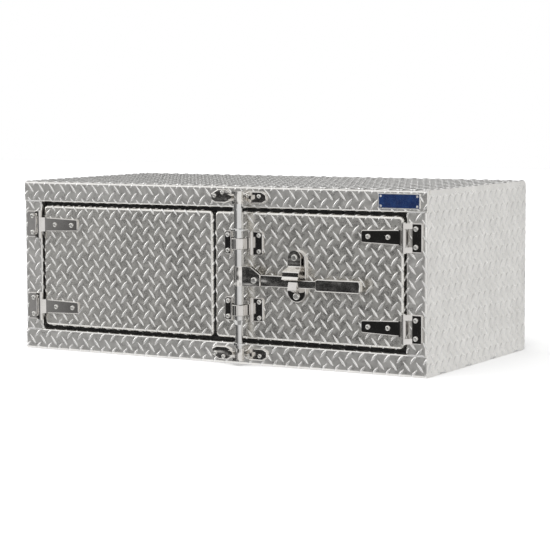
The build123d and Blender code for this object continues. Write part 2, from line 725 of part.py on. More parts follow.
# ---- handle -----------------------------------------------------------------------------
bar_front = ROD_STAND + BAR / 2
with BuildPart() as handle_bar:
    with BuildSketch(face(bar_front)) as blade:
        with BuildLine():
            Polyline(
                (HANDLE_PIVOT_X - 26, HANDLE_Z - 12),
                (HANDLE_PIVOT_X - 18, HANDLE_Z - 14.5),
                (GRIP_START + 30, GRIP_Z - 10),
                (GRIP_START + 30, GRIP_Z + 10),
                (226, GRIP_Z + 10),
                (222, HANDLE_Z + 14.5),
                (HANDLE_PIVOT_X - 18, HANDLE_Z + 14.5),
                (HANDLE_PIVOT_X - 26, HANDLE_Z + 12),
                close=True,
            )
        make_face()
        fillet(blade.vertices(), radius=2)
    extrude(amount=-BAR)
    soften(handle_bar, 1.6)
    drill([(HANDLE_PIVOT_X, HANDLE_Z)], bar_front, BAR, radius=PIVOT_R + PIN_FIT)
save(handle_bar.part, "handle_bar")

GRIP_DEEP = 14.0
GRIP_WALL = 2.6
GRIP_HIGH = 31.0
with BuildPart() as handle_grip:
    grip_mid = ((GRIP_START + GRIP_END) / 2, GRIP_Z)
    with BuildSketch(face(bar_front + GRIP_WALL)):
        with Locations(grip_mid):
            RectangleRounded(GRIP_END - GRIP_START, GRIP_HIGH, radius=7)
    extrude(amount=-GRIP_DEEP)
    fillet(handle_grip.edges().group_by(Axis.Y)[0], radius=2.5)
    with BuildSketch(face(bar_front)):
        with Locations(grip_mid):
            inner_long = GRIP_END - GRIP_START - 2 * GRIP_WALL
            RectangleRounded(inner_long, GRIP_HIGH - 2 * GRIP_WALL, radius=4.5)
    extrude(amount=-GRIP_DEEP, mode=Mode.SUBTRACT)
    with BuildSketch(face(bar_front)):
        with Locations((GRIP_START, GRIP_Z)):
            Rectangle(4 * GRIP_WALL, 20.4)
    extrude(amount=-(BAR + 0.2), mode=Mode.SUBTRACT)
save(handle_grip.part, "handle_grip")

with BuildPart() as handle_pivot:
    with BuildSketch(face(ROD_STAND + cheek + PLATE)):
        with Locations((HANDLE_PIVOT_X, HANDLE_Z)):
            Circle(7.8)
    extrude(amount=3.0)
    fillet(handle_pivot.edges().group_by(Axis.Y)[0], radius=2.4)
    with BuildSketch(face(ROD_STAND + cheek + PLATE)):
        with Locations((HANDLE_PIVOT_X, HANDLE_Z)):
            Circle(PIVOT_R)
    extrude(amount=-2 * (cheek + PLATE))
    with BuildSketch(face(ROD_STAND - cheek - PLATE)):
        with Locations((HANDLE_PIVOT_X, HANDLE_Z)):
            Circle(7.0)
    extrude(amount=-2.0)
save(handle_pivot.part, "handle_pivot")

STOP_LOW = 200.5
STOP_HIGH = 221.5
with BuildPart() as handle_stop:
    with BuildSketch(Plane.YZ.offset(CATCH_X + 3)) as stop:
        with BuildLine():
            Polyline(
                (front_y - bar_front, STOP_LOW),
                (front_y - STOP_FRONT, STOP_LOW),
                (front_y - bar_front - 1.2, STOP_HIGH),
                (front_y - bar_front, STOP_HIGH),
                close=True,
            )
        make_face()
        fillet(stop.vertices().sort_by(Axis.X)[0], radius=1.5)
    extrude(amount=12.5, both=True)
save(handle_stop.part, "handle_stop")

# ---- catch ------------------------------------------------------------------------------
with BuildPart() as catch_base:
    with BuildSketch(face(0)):
        with Locations((CATCH_X, (CATCH_LOW + CATCH_HIGH) / 2)):
            SlotOverall(CATCH_HIGH - CATCH_LOW, CATCH_WIDE, rotation=90)
    extrude(amount=CATCH_BASE)
    soften(catch_base, 2.6)
    with BuildSketch(face(CATCH_BASE)):
        with Locations((CATCH_X, HASP_Z)):
            Circle(11)
    extrude(amount=HASP_STAND - CATCH_BASE - 0.3)
    drill([(CATCH_X, HASP_Z)], HASP_STAND, HASP_STAND, radius=4.0 + RUN_FIT)
    drill([catch_bolt], CATCH_BASE, CATCH_BASE)
save(catch_base.part, "catch_base")

with BuildPart() as catch_hook:
    hook_top = GRIP_Z - 10 - 0.6
    with BuildSketch(Plane.YZ.offset(CATCH_X - 5)) as shelf:
        with BuildLine():
            Polyline(
                (front_y - CATCH_BASE, hook_top - 12),
                (front_y - CATCH_BASE - 6, hook_top - 12),
                (front_y - ROD_STAND - BAR / 2 + 0.2, hook_top - 7),
                (front_y - ROD_STAND - BAR / 2 + 0.2, hook_top),
                (front_y - CATCH_BASE, hook_top),
                close=True,
            )
        make_face()
    extrude(amount=22)
save(catch_hook.part, "catch_hook")

save(
    bolt_group([catch_bolt], CATCH_BASE, CATCH_BASE + SHEET, head_r=9.0, head_high=4.5),
    "catch_bolt",
)

STEP_TOP = 258.0          # heights where the hasp's flat, step, lip and curl begin
LIP_TOP = 246.0
CURL_TOP = 235.0
LIP_LOW = 227.5
with BuildPart() as hasp:
    with BuildSketch(Plane.YZ.offset(CATCH_X)) as profile:
        with BuildLine():
            flap_y = front_y - HASP_STAND
            lip_y = front_y - LIP_STAND
            Polyline(
                (flap_y, HASP_Z + HASP_WIDE),
                (flap_y, STEP_TOP),
                (lip_y, LIP_TOP),
                (lip_y, CURL_TOP),
                (lip_y - 4.5, LIP_LOW),
                (lip_y - 7, LIP_LOW + 1.8),
                (lip_y - HASP_PLATE, CURL_TOP + 1),
                (lip_y - HASP_PLATE, LIP_TOP + 1.6),
                (flap_y - HASP_PLATE, STEP_TOP + 1.6),
                (flap_y - HASP_PLATE, HASP_Z + HASP_WIDE),
                close=True,
            )
        make_face()
        for bend_z in (STEP_TOP, LIP_TOP):
            bends = profile.vertices().filter_by(lambda v: bend_z - 0.1 < v.Y < bend_z + 2)
            fillet(bends, radius=3.5)
    extrude(amount=LIP_HALF, both=True)
    with BuildSketch(face(0)) as outline:
        with Locations((CATCH_X, HASP_Z)):
            Circle(HASP_WIDE / 2)
        with BuildLine():
            Polyline(
                (CATCH_X - HASP_WIDE / 2, HASP_Z),
                (CATCH_X - HASP_WIDE / 2, STEP_TOP),
                (CATCH_X - LIP_HALF, LIP_TOP + 4),
                (CATCH_X - LIP_HALF, LIP_LOW - 1),
                (CATCH_X + LIP_HALF, LIP_LOW - 1),
                (CATCH_X + LIP_HALF, LIP_TOP + 4),
                (CATCH_X + HASP_WIDE / 2, STEP_TOP),
                (CATCH_X + HASP_WIDE / 2, HASP_Z),
                close=True,
            )
        make_face()
        waist = outline.vertices().filter_by(lambda v: abs(v.Y - STEP_TOP) < 0.01)
        fillet(waist, radius=5)
        shoulder = outline.vertices().filter_by(lambda v: abs(v.Y - LIP_TOP - 4) < 0.01)
        fillet(shoulder, radius=3)
    extrude(amount=LIP_STAND + 4 * HASP_PLATE, mode=Mode.INTERSECT)
    drill([(CATCH_X, HASP_Z)], HASP_STAND + HASP_PLATE, HASP_PLATE, radius=4.0 + RUN_FIT)
save(hasp.part, "hasp")

with BuildPart() as hasp_rivet:
    with BuildSketch(face(HASP_STAND + HASP_PLATE)):
        with Locations((CATCH_X, HASP_Z)):
            Circle(8.0)
    extrude(amount=3.2)
    fillet(hasp_rivet.edges().group_by(Axis.Y)[0], radius=2.4)
    with BuildSketch(face(HASP_STAND + HASP_PLATE)):
        with Locations((CATCH_X, HASP_Z)):
            Circle(4.0)
    extrude(amount=-(HASP_STAND + HASP_PLATE + SHEET + 0.3))
    with BuildSketch(face(-SHEET - 0.2)):
        with Locations((CATCH_X, HASP_Z)):
            Circle(6.5)
    extrude(amount=-2.5)
save(hasp_rivet.part, "hasp_rivet")
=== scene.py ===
"""Looks for the double-door tread-plate truck tool box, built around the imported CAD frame.

Metres, origin at the centre of the box's bottom face, +X right, +Y to the back, +Z up.
"""
import json
import math

import bmesh
import bpy
import numpy as np
from mathutils import Matrix, Vector


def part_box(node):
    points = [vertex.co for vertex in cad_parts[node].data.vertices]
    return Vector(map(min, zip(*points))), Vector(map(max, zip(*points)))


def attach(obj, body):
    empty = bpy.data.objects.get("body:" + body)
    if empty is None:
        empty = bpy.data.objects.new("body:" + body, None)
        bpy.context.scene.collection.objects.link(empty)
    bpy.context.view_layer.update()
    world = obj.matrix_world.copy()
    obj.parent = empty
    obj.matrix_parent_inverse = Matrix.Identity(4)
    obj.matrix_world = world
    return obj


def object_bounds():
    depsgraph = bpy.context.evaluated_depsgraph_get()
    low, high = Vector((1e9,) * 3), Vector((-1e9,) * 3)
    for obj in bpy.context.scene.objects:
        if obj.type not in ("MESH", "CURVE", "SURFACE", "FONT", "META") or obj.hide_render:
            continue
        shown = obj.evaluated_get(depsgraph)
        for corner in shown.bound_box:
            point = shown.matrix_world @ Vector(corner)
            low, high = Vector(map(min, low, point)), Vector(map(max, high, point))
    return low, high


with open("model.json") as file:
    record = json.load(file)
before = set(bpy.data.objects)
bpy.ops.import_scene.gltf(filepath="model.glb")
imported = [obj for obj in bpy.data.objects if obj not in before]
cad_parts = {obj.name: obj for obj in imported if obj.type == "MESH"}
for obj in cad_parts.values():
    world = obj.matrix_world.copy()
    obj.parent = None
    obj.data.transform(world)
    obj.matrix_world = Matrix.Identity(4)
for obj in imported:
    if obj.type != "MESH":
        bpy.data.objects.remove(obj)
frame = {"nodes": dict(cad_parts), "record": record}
cad_low, cad_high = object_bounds()
nodes = frame["nodes"]
MM = 0.001

# ---- places taken from the frame ----------------------------------------------------
wrap_low, wrap_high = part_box("body_wrap")
end_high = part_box("right_end_panel")[1]
seal_low, seal_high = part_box("door_seal")
SEAL_GAP = 0.5 * MM                  # the opening is this much larger than the seal all round
FRONT = wrap_low.y
BACK = wrap_high.y
TOP = wrap_high.z
BODY_HALF = end_high.x               # outer face of the end panels
OPEN_LOW = seal_low.z - SEAL_GAP
OPEN_HIGH = seal_high.z + SEAL_GAP
OPEN_HALF = seal_high.x + SEAL_GAP

# ---- sheet metal sizes that the frame's boxes don't give ----------------------------
SHEET = 3.2 * MM
FRONT_BEND = 6 * MM                  # the bends are outer radii
BACK_BEND = 14 * MM
LIP_BEND = 4 * MM
DOOR_BEND = 7 * MM
LIP_SEEN = 8 * MM                    # flat of the opening's lip that carries lugs
HEM_DROP = 11 * MM                   # how far the top sheet folds down over each end

# ---- tread pattern --------------------------------------------------------------------
PITCH_ALONG = 35.7 * MM
PITCH_ACROSS = 37.0 * MM
LUG_LONG = 33 * MM
LUG_WIDE = 7.4 * MM
LUG_HIGH = 1.75 * MM
LUG_SUNK = 0.4 * MM                  # how far its sides reach into the sheet
BEND_PRESS = 0.35                    # share of its height left where the wrap is bent
LUG_ANGLE = math.radians(51)
LUG_STATIONS = (-0.84, -0.60, -0.32, 0.0, 0.32, 0.60, 0.84)    # shares of half its length
LUG_PROFILE = (                      # (share of half its width, share of its height)
    (-0.90, 0.14),
    (-0.40, 0.92),
    (0.0, 1.0),
    (0.40, 0.92),
    (0.90, 0.14),
)
LUG_TAPER = 1.9                      # power that narrows it towards its points
LUG_FALL = 5                         # power that lowers it there
LUG_CREASE = 50                      # degrees, sharper edges are left hard
CUT_SLACK = 1e-7

# The centre of one lug on each sheet sets where its pattern falls.
WRAP_LUG_X = -517 * MM
TOP_RAIL_LUG_Z = 439.5 * MM
END_LUG = (12 * MM, 338 * MM)        # past the start of the stile's flat, and z
DOOR_LUGS = (                        # x and z
    ("left_door", (-86.8 * MM, 352.5 * MM)),
    ("right_door", (359 * MM, 338.0 * MM)),
)


# ---- camera ------------------------------------------------------------------------
CAMERA_PLACE = (2.599, -4.445, 0.6834)
CAMERA_AZIMUTH = 0.52839             # radians, to the right of the box's front
CAMERA_ELEVATION = 0.09337
CAMERA_ROLL = -0.00399
CAMERA_LENS = 124.40                 # mm
SENSOR_WIDTH = 36                    # mm


def make_camera():
    forward = Vector((
        -math.sin(CAMERA_AZIMUTH) * math.cos(CAMERA_ELEVATION),
        math.cos(CAMERA_AZIMUTH) * math.cos(CAMERA_ELEVATION),
        -math.sin(CAMERA_ELEVATION),
    ))
    level_right = forward.cross(Vector((0, 0, 1))).normalized()
    level_up = level_right.cross(forward)
    right = level_right * math.cos(CAMERA_ROLL) + level_up * math.sin(CAMERA_ROLL)
    up = level_up * math.cos(CAMERA_ROLL) - level_right * math.sin(CAMERA_ROLL)
    data = bpy.data.cameras.new("camera")
    data.sensor_width = SENSOR_WIDTH
    data.lens = CAMERA_LENS
    camera = bpy.data.objects.new("camera", data)
    bpy.context.scene.collection.objects.link(camera)
    turn = Matrix((right, up, -forward)).transposed().to_4x4()
    camera.matrix_world = Matrix.Translation(CAMERA_PLACE) @ turn
    bpy.context.scene.camera = camera


make_camera()


# ---- materials ------------------------------------------------------------------------
EVEN = (1, 1, 1)                     # no stretch
CLOUD_SCALE = 22                     # noise scales are in cells to the metre
SMEAR_SCALE = 60
SCRATCH_SCALE = 420
SCRATCH_DEEP = 0.05 * MM
WARP_SCALE = 9


def new_material(name):
    material = bpy.data.materials.new(name)
    material.use_nodes = True
    tree = material.node_tree
    shader = tree.nodes["Principled BSDF"]
    return material, tree, shader


def place(tree, scale=EVEN):
    """Object coordinates in metres, stretched by scale."""
    coords = tree.nodes.new("ShaderNodeTexCoord")
    mapping = tree.nodes.new("ShaderNodeMapping")
    mapping.inputs["Scale"].default_value = scale
    tree.links.new(coords.outputs["Object"], mapping.inputs["Vector"])
    return mapping.outputs["Vector"]


def noise(tree, vector, scale, detail, roughness=0.5):
    node = tree.nodes.new("ShaderNodeTexNoise")
    node.inputs["Scale"].default_value = scale
    node.inputs["Detail"].default_value = detail
    node.inputs["Roughness"].default_value = roughness
    tree.links.new(vector, node.inputs["Vector"])
    return node.outputs["Fac"]


def ramp(tree, value, low, high, low_out, high_out):
    node = tree.nodes.new("ShaderNodeMapRange")
    node.inputs["From Min"].default_value = low
    node.inputs["From Max"].default_value = high
    node.inputs["To Min"].default_value = low_out
    node.inputs["To Max"].default_value = high_out
    tree.links.new(value, node.inputs["Value"])
    return node.outputs["Result"]


def tint(tree, value, dark, light):
    node = tree.nodes.new("ShaderNodeMix")
    node.data_type = "RGBA"
    node.inputs["A"].default_value = (*dark, 1)
    node.inputs["B"].default_value = (*light, 1)
    tree.links.new(value, node.inputs["Factor"])
    return node.outputs["Result"]


def bump(tree, shader, heights):
    """Chain of bumps: each height is (value, strength, distance in metres)."""
    last = None
    for value, strength, distance in heights:
        node = tree.nodes.new("ShaderNodeBump")
        node.inputs["Strength"].default_value = strength
        node.inputs["Distance"].default_value = distance
        tree.links.new(value, node.inputs["Height"])
        if last is not None:
            tree.links.new(last, node.inputs["Normal"])
        last = node.outputs["Normal"]
    tree.links.new(last, shader.inputs["Normal"])


def metal(name, dark, light, rough_low, rough_high, grain, brushed=EVEN, warp=0.0, mottle=None):
    """Metal with cloudy tint, uneven polish and fine scratches.

    grain is the strength of the scratches, and brushed stretches them. warp is the depth in mm of
    the sheet's slow waves. mottle is (scale, depth in mm, detail, stretch) of closer unevenness.
    """
    material, tree, shader = new_material(name)
    shader.inputs["Metallic"].default_value = 1.0
    plain = place(tree)
    streaks = place(tree, brushed)
    cloud = noise(tree, plain, CLOUD_SCALE, detail=4, roughness=0.6)
    fine = noise(tree, streaks, SCRATCH_SCALE, detail=4, roughness=0.65)
    smear = noise(tree, streaks, SMEAR_SCALE, detail=5, roughness=0.7)
    colour = tint(tree, ramp(tree, cloud, 0.3, 0.7, 0, 1), dark, light)
    tree.links.new(colour, shader.inputs["Base Color"])
    tree.links.new(ramp(tree, smear, 0.3, 0.7, rough_low, rough_high), shader.inputs["Roughness"])
    heights = []
    if warp:
        heights.append((noise(tree, plain, WARP_SCALE, detail=2), 1.0, warp * MM))
    if mottle:
        scale, deep, detail, stretch = mottle
        uneven = noise(tree, place(tree, stretch), scale, detail=detail, roughness=0.6)
        heights.append((uneven, 1.0, deep * MM))
    heights.append((fine, grain, SCRATCH_DEEP))
    bump(tree, shader, heights)
    return material


BODY_METAL = metal(
    "tread_sheet", (0.82, 0.806, 0.775), (0.93, 0.915, 0.882), 0.25, 0.37,
    grain=0.25, warp=1.8, mottle=(190, 0.24, 2, EVEN),
)
DOOR_METAL = metal(
    "door_tread_sheet", (0.80, 0.782, 0.742), (0.92, 0.900, 0.857), 0.22, 0.345,
    grain=0.25, warp=2.4, mottle=(190, 0.21, 2, EVEN),
)
# The lugs get a lighter metal than the sheets they are pressed from: a painted highlight that
# brightens them.
LUG_METAL = metal(
    "tread_lug", (0.90, 0.89, 0.87), (0.99, 0.98, 0.96), 0.30, 0.42,
    grain=0.4, mottle=(190, 0.10, 2, EVEN),
)
LINER_METAL = metal(
    "mill_sheet", (0.56, 0.57, 0.58), (0.72, 0.73, 0.74), 0.24, 0.48,
    grain=0.8, brushed=(0.3, 0.3, 4), warp=1.2, mottle=(60, 0.3, 1, EVEN),
)
POLISHED = metal(
    "polished_stainless", (0.60, 0.58, 0.555), (0.70, 0.68, 0.66), 0.05, 0.12, grain=0.08,
)
CAST_METAL = metal(
    "polished_casting", (0.68, 0.66, 0.63), (0.80, 0.78, 0.75), 0.10, 0.20,
    grain=0.12, warp=0.5, mottle=(44, 3.6, 0, (0.3, 1, 1)),
)
ROD_METAL = metal(
    "polished_rod", (0.58, 0.57, 0.56), (0.68, 0.68, 0.67), 0.05, 0.12,
    grain=0.15, brushed=(6, 6, 1),
)
BOLT_METAL = metal("bolt_steel", (0.80, 0.79, 0.76), (0.92, 0.91, 0.88), 0.20, 0.36, grain=0.35)
WELD_METAL = metal("weld_bead", (0.62, 0.61, 0.60), (0.86, 0.86, 0.85), 0.25, 0.45, grain=0.6)


def rubber(name):
    """Matt black with fine pores and a little dust."""
    material, tree, shader = new_material(name)
    vector = place(tree)
    pores = noise(tree, vector, 700, detail=3)
    dust = noise(tree, vector, 40, detail=4, roughness=0.7)
    dusty = ramp(tree, dust, 0.4, 0.75, 0, 1)
    colour = tint(tree, dusty, (0.008, 0.008, 0.008), (0.035, 0.034, 0.032))
    tree.links.new(colour, shader.inputs["Base Color"])
    tree.links.new(ramp(tree, pores, 0.3, 0.7, 0.62, 0.9), shader.inputs["Roughness"])
    bump(tree, shader, [(pores, 0.5, 0.2 * MM)])
    return material


def enamel(name):
    """Blue stove enamel with a faint orange peel and a cloudy tint."""
    material, tree, shader = new_material(name)
    vector = place(tree)
    peel = noise(tree, vector, 500, detail=2)
    cloud = noise(tree, vector, 60, detail=4)
    cloudy = ramp(tree, cloud, 0.35, 0.7, 0, 1)
    colour = tint(tree, cloudy, (0.006, 0.018, 0.070), (0.010, 0.032, 0.110))
    tree.links.new(colour, shader.inputs["Base Color"])
    tree.links.new(ramp(tree, peel, 0.3, 0.7, 0.18, 0.32), shader.inputs["Roughness"])
    shader.inputs["Coat Weight"].default_value = 0.4
    bump(tree, shader, [(peel, 0.15, 0.05 * MM)])
    return material


RUBBER = rubber("black_rubber")
NYLON = rubber("black_nylon")
ENAMEL = enamel("blue_enamel")

LOOKS = {
    "tread_plate": BODY_METAL,
    "door_tread_plate": DOOR_METAL,
    "plain_aluminium": LINER_METAL,
    "polished_stainless": POLISHED,
    "polished_rod": ROD_METAL,
    "bolt_steel": BOLT_METAL,
    "black_rubber": RUBBER,
    "black_nylon": NYLON,
    "blue_enamel": ENAMEL,
}
# nodes whose surface differs from the rest of their slot
SPECIAL_LOOKS = {
    "top_keeper": CAST_METAL,
    "bottom_keeper": CAST_METAL,
    "top_cam": CAST_METAL,
    "bottom_cam": CAST_METAL,
    "hub_clevis": CAST_METAL,
    "handle_bar": CAST_METAL,
    "handle_grip": CAST_METAL,
    "hasp": CAST_METAL,
    "nameplate_frame": LUG_METAL,
    "nameplate_rivets": LUG_METAL,
}
for subpart in frame["record"]["subparts"]:
    cad = nodes[subpart["node"]]
    cad.data.materials.clear()
    cad.data.materials.append(SPECIAL_LOOKS.get(subpart["node"], LOOKS[subpart["material_slot"]]))


# ---- tread lugs --------------------------------------------------------------------------
def lug_solid():
    """One pointed-lens lug along +u: rows of points across it, closed underneath."""
    points = [(-LUG_LONG / 2, 0, -LUG_SUNK)]
    for t in LUG_STATIONS:
        wide = LUG_WIDE / 2 * (1 - abs(t) ** LUG_TAPER)
        rise = 1 - abs(t) ** LUG_FALL
        points.append((t * LUG_LONG / 2, -wide, -LUG_SUNK))
        for share, high in LUG_PROFILE:
            points.append((t * LUG_LONG / 2, share * wide, high * LUG_HIGH * rise))
        points.append((t * LUG_LONG / 2, wide, -LUG_SUNK))
    points.append((LUG_LONG / 2, 0, -LUG_SUNK))
    row = len(LUG_PROFILE) + 2
    last = len(points) - 1
    faces = []
    for k in range(row):
        after = (k + 1) % row
        faces.append((0, 1 + after, 1 + k))
        for s in range(len(LUG_STATIONS) - 1):
            a = 1 + s * row
            b = a + row
            faces.append((a + k, a + after, b + after, b + k))
        a = 1 + (len(LUG_STATIONS) - 1) * row
        faces.append((last, a + k, a + after))
    return np.array(points), faces


LUG_POINTS, LUG_FACES = lug_solid()


def flat_lugs(u_range, v_range, phase, skip=None):
    """Lugs on a flat sheet in (u, v, height), cut off at the sheet's edges.

    phase is the centre of one of them. skip(u, v) says which ones are left out.
    """
    mesh = bmesh.new()
    u0, u1 = u_range
    v0, v1 = v_range
    reach = LUG_LONG / 2
    for lean, shift in ((-1, 0.0), (1, 0.5)):
        turn = lean * LUG_ANGLE
        spin = np.array(((math.cos(turn), -math.sin(turn)), (math.sin(turn), math.cos(turn))))
        shape = LUG_POINTS.copy()
        shape[:, :2] = LUG_POINTS[:, :2] @ spin.T
        first_u = phase[0] + shift * PITCH_ALONG
        first_v = phase[1] + shift * PITCH_ACROSS
        i0 = math.ceil((u0 - reach - first_u) / PITCH_ALONG)
        i1 = math.floor((u1 + reach - first_u) / PITCH_ALONG)
        j0 = math.ceil((v0 - reach - first_v) / PITCH_ACROSS)
        j1 = math.floor((v1 + reach - first_v) / PITCH_ACROSS)
        for i in range(i0, i1 + 1):
            for j in range(j0, j1 + 1):
                u = first_u + i * PITCH_ALONG
                v = first_v + j * PITCH_ACROSS
                if skip is not None and skip(u, v):
                    continue
                made = [mesh.verts.new((u + p[0], v + p[1], p[2])) for p in shape]
                for face in LUG_FACES:
                    mesh.faces.new([made[k] for k in face])
    for point, normal in (
        ((u0, 0, 0), (-1, 0, 0)),
        ((u1, 0, 0), (1, 0, 0)),
        ((0, v0, 0), (0, -1, 0)),
        ((0, v1, 0), (0, 1, 0)),
    ):
        cut = bmesh.ops.bisect_plane(
            mesh,
            geom=mesh.verts[:] + mesh.edges[:] + mesh.faces[:],
            plane_co=point,
            plane_no=normal,
            clear_outer=True,
            dist=CUT_SLACK,
        )
        edges = [e for e in cut["geom_cut"] if isinstance(e, bmesh.types.BMEdge)]
        bmesh.ops.holes_fill(mesh, edges=edges, sides=0)
    bmesh.ops.recalc_face_normals(mesh, faces=mesh.faces[:])
    return mesh


def smooth_by_angle(mesh, degrees):
    """Smooth shading, except over edges that turn by more than this."""
    limit = math.radians(degrees)
    for face in mesh.faces:
        face.smooth = True
    for edge in mesh.edges:
        if len(edge.link_faces) == 2:
            edge.smooth = edge.calc_face_angle() < limit


def add_piece(name, mesh, material, body):
    """Make an object of a bmesh and let it ride on a body of the frame."""
    data = bpy.data.meshes.new(name)
    mesh.to_mesh(data)
    mesh.free()
    data.materials.append(material)
    piece = bpy.data.objects.new(name, data)
    bpy.context.scene.collection.objects.link(piece)
    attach(piece, body)


def bent_path(start, facing, steps):
    """Outline of a bent sheet, walked clockwise.

    steps are lengths of flat, or ("bend", radius, degrees).
    """
    pieces = []
    at = np.array(start, float)
    angle = math.radians(facing)
    run = 0.0
    for step in steps:
        if isinstance(step, tuple):
            radius = step[1]
            sweep = math.radians(step[2])
            centre = at - radius * np.array((math.cos(angle), math.sin(angle)))
            pieces.append((run, run + radius * sweep, centre, angle, radius))
            run += radius * sweep
            angle -= sweep
            at = centre + radius * np.array((math.cos(angle), math.sin(angle)))
        else:
            pieces.append((run, run + step, at.copy(), angle, 0.0))
            run += step
            at = at + step * np.array((math.sin(angle), -math.cos(angle)))
    return pieces, run


def on_path(pieces, along, height):
    """Points at distances along a bent path, raised by height: two columns."""
    out = np.zeros((len(along), 2))
    last = len(pieces) - 1
    for number, (begin, end, origin, angle, radius) in enumerate(pieces):
        inside = np.full(len(along), True)
        if number > 0:
            inside &= along >= begin
        if number < last:
            inside &= along < end
        s = along[inside] - begin
        high = height[inside]
        if radius > 0:
            turned = angle - s / radius
            reach = radius + high * np.where(high > 0, BEND_PRESS, 1)
            out[inside] = origin + np.stack((np.cos(turned) * reach, np.sin(turned) * reach), 1)
        else:
            tangent = np.array((math.sin(angle), -math.cos(angle)))
            normal = np.array((math.cos(angle), math.sin(angle)))
            out[inside] = origin + s[:, None] * tangent + high[:, None] * normal
    return out


def bend_mesh(mesh, mapping):
    """Move a flat (u, v, height) mesh onto a surface; mapping takes and gives an N x 3 array."""
    flat = np.array([v.co[:] for v in mesh.verts])
    bent = mapping(flat)
    for vert, place_at in zip(mesh.verts, bent):
        vert.co = place_at


# The wrapped sheet: from the opening's upper lip round the top, back and bottom to the lower lip.
wrap_path, wrap_run = bent_path(
    (FRONT + LIP_BEND + LIP_SEEN, OPEN_HIGH),
    270,
    [
        LIP_SEEN,
        ("bend", LIP_BEND, 90),
        TOP - OPEN_HIGH - LIP_BEND - FRONT_BEND,
        ("bend", FRONT_BEND, 90),
        BACK - FRONT - FRONT_BEND - BACK_BEND,
        ("bend", BACK_BEND, 90),
        TOP - 2 * BACK_BEND,
        ("bend", BACK_BEND, 90),
        BACK - FRONT - FRONT_BEND - BACK_BEND,
        ("bend", FRONT_BEND, 90),
        OPEN_LOW - LIP_BEND - FRONT_BEND,
        ("bend", LIP_BEND, 90),
        LIP_SEEN,
    ],
)
QUARTER = math.pi / 2
LIP_ARC = LIP_BEND * QUARTER
LIP_RUN = LIP_SEEN + LIP_ARC
RAIL_START = LIP_RUN - LIP_BEND      # what the walk adds to a height above the opening


def wrap_map(flat):
    around = on_path(wrap_path, flat[:, 1], flat[:, 2])
    return np.stack((flat[:, 0], around[:, 0], around[:, 1]), 1)


for name, u_range, v_range in (
    ("wrap_tread", (-BODY_HALF, BODY_HALF), (LIP_RUN, wrap_run - LIP_RUN)),
    ("upper_lip_tread", (-OPEN_HALF, OPEN_HALF), (0, LIP_RUN)),
    ("lower_lip_tread", (-OPEN_HALF, OPEN_HALF), (wrap_run - LIP_RUN, wrap_run)),
):
    lugs = flat_lugs(u_range, v_range, (WRAP_LUG_X, RAIL_START + TOP_RAIL_LUG_Z - OPEN_HIGH))
    smooth_by_angle(lugs, LUG_CREASE)
    bend_mesh(lugs, wrap_map)
    add_piece(name, lugs, LUG_METAL, "box")

# The end sheets: from the opening lip round the stile's front bend and back along the side.
STILE_FLAT = BODY_HALF - OPEN_HALF - FRONT_BEND - LIP_BEND
SIDE_START = STILE_FLAT + FRONT_BEND * QUARTER
SIDE_END = SIDE_START + BACK - FRONT - FRONT_BEND - SHEET
STILE_SHORT = 1 * MM                 # the stile's lugs stop this short of its seams


def end_map(side):
    """(distance from the start of the stile's flat, z) onto one end sheet."""

    def mapping(flat):
        u = flat[:, 0]
        high = flat[:, 2]
        x = OPEN_HALF + LIP_BEND + u
        y = FRONT - high
        lip = (u < 0) & (u >= -LIP_ARC)
        turn = -u / LIP_BEND
        x = np.where(lip, OPEN_HALF + LIP_BEND - np.sin(turn) * (LIP_BEND + high), x)
        y = np.where(lip, FRONT + LIP_BEND - np.cos(turn) * (LIP_BEND + high), y)
        jamb = u < -LIP_ARC
        x = np.where(jamb, OPEN_HALF - high, x)
        y = np.where(jamb, FRONT + LIP_BEND - (LIP_ARC + u), y)
        turning = (u > STILE_FLAT) & (u <= SIDE_START)
        angle = (u - STILE_FLAT) / FRONT_BEND
        x = np.where(turning, BODY_HALF - FRONT_BEND + np.sin(angle) * (FRONT_BEND + high), x)
        y = np.where(turning, FRONT + FRONT_BEND - np.cos(angle) * (FRONT_BEND + high), y)
        along = u > SIDE_START
        x = np.where(along, BODY_HALF + high, x)
        y = np.where(along, FRONT + FRONT_BEND + (u - SIDE_START), y)
        return np.stack((side * x, y, flat[:, 1]), 1)

    return mapping


for side, name in ((-1, "left"), (1, "right")):
    for part, u_range, v_range in (
        ("stile", (-LIP_RUN, SIDE_START), (OPEN_LOW + STILE_SHORT, OPEN_HIGH - STILE_SHORT)),
        ("side", (SIDE_START, SIDE_END), (SHEET, TOP - HEM_DROP)),
    ):
        lugs = flat_lugs(u_range, v_range, END_LUG)
        bend_mesh(lugs, end_map(side))
        if side < 0:
            bmesh.ops.reverse_faces(lugs, faces=lugs.faces[:])
        smooth_by_angle(lugs, LUG_CREASE)
        add_piece(f"{name}_{part}_tread", lugs, LUG_METAL, "box")


def door_map(low, high):
    """(x, z) across a door face, wrapped over its four bent edges."""
    flat_x = (low.x + DOOR_BEND, high.x - DOOR_BEND)
    flat_z = (low.z + DOOR_BEND, high.z - DOOR_BEND)

    def fold(value, limits, rise):
        """Position, and how far behind the face, of a distance measured along the sheet."""
        base = np.clip(value, limits[0], limits[1])
        over = value - base
        way = np.sign(over)
        arc = np.minimum(np.abs(over), DOOR_BEND * QUARTER) / DOOR_BEND
        past = np.maximum(np.abs(over) - DOOR_BEND * QUARTER, 0)
        reach = DOOR_BEND + rise
        moved = base + way * np.sin(arc) * reach
        back = DOOR_BEND - np.cos(arc) * reach + past
        return moved, back, over != 0

    def mapping(flat):
        x, back_x, bent_x = fold(flat[:, 0], flat_x, flat[:, 2])
        z, back_z, bent_z = fold(flat[:, 1], flat_z, flat[:, 2])
        back = np.where(bent_x, back_x, np.where(bent_z, back_z, -flat[:, 2]))
        return np.stack((x, FRONT + back, z), 1)

    return mapping, flat_x, flat_z


